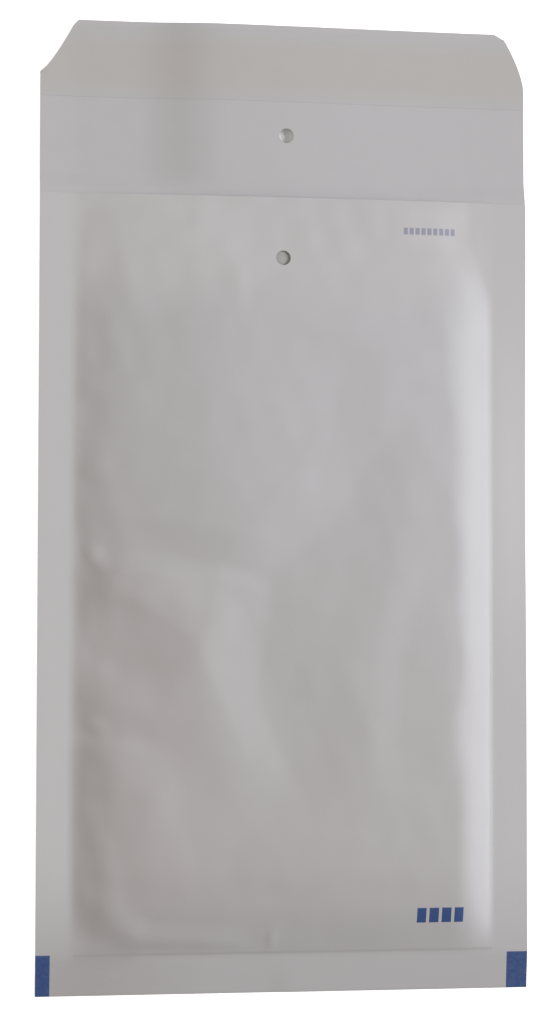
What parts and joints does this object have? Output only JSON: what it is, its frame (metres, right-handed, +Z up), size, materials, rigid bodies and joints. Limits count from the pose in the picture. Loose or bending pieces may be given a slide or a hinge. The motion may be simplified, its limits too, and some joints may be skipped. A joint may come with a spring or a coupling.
{
  "type": "bubble mailer",
  "caption": "Flat paper mailer lined with a bag of bubble film, open at one end, with a long flap that closes with a peel strip.",
  "frame": {"origin": "on the surface the mailer lies on, under the middle of its opened length and width", "axes": "+X across the mailer, to the right as its front is read; +Y along it, from the bottom fold to the flap's tip; +Z up, out of the front panel"},
  "size_m": [0.14, 0.275, 0.011],
  "materials": {
    "white_paper": "matte, slightly calendered",
    "bubble_film": "clear film, slightly milky",
    "adhesive": "tacky, yellowish",
    "release_paper": "smooth, faintly coated"
  },
  "bodies": {
    "root": {"paper_envelope": "white_paper", "bubble_lining": "bubble_film", "flap_adhesive": "adhesive", "release_liner": "release_paper"}
  },
  "joints": []
}
